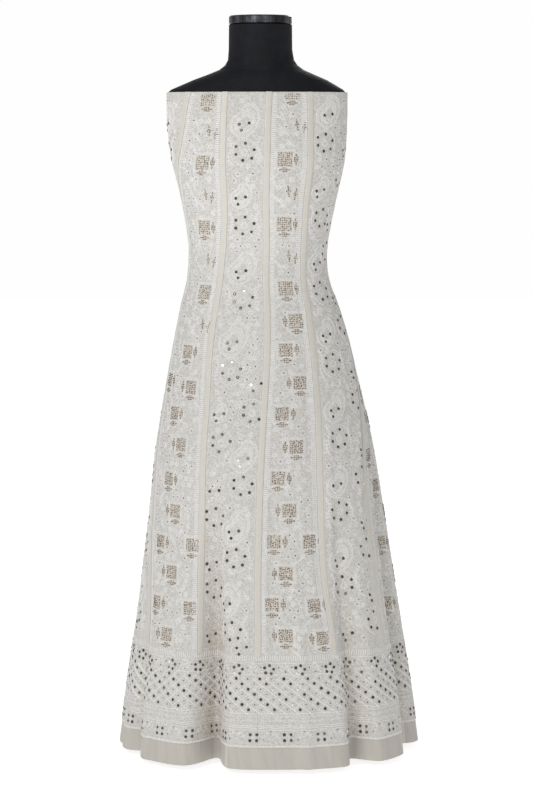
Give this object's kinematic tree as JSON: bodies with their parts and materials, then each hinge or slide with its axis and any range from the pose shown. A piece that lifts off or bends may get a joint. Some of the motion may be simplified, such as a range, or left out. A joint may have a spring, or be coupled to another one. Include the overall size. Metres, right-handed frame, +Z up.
{
  "type": "anarkali gown on dress form",
  "caption": "Sleeveless floor-length anarkali gown of flared embroidered panels with cream seam bands and a sheer underskirt, worn by a limbless dress form on a pole stand.",
  "frame": {"origin": "centre of the foot plate's underside, on the floor", "axes": "+Z up along the pole and the gown's length, -Y the gown's front, +X the wearer's left"},
  "size_m": [0.6156, 0.5809, 1.4963],
  "materials": {
    "embroidered_georgette": "matte",
    "satin_band": "satin",
    "sheer_lining": "matte",
    "black_jersey": "matte",
    "dark_chrome": "polished",
    "satin_steel": "satin"
  },
  "bodies": {
    "root": {"kali_01": "embroidered_georgette", "kali_02": "embroidered_georgette", "kali_03": "embroidered_georgette", "kali_04": "embroidered_georgette", "kali_05": "embroidered_georgette", "kali_06": "embroidered_georgette", "kali_07": "embroidered_georgette", "kali_08": "embroidered_georgette", "kali_09": "embroidered_georgette", "kali_10": "embroidered_georgette", "seam_band_01": "satin_band", "seam_band_02": "satin_band", "seam_band_03": "satin_band", "seam_band_04": "satin_band", "seam_band_05": "satin_band", "seam_band_06": "satin_band", "seam_band_07": "satin_band", "seam_band_08": "satin_band", "seam_band_09": "satin_band", "seam_band_10": "satin_band", "lining_1": "sheer_lining", "lining_2": "sheer_lining", "lining_3": "sheer_lining", "lining_4": "sheer_lining", "form_torso": "black_jersey", "neck_cap": "dark_chrome", "stand_pole": "satin_steel", "stand_base": "satin_steel"}
  },
  "joints": []
}
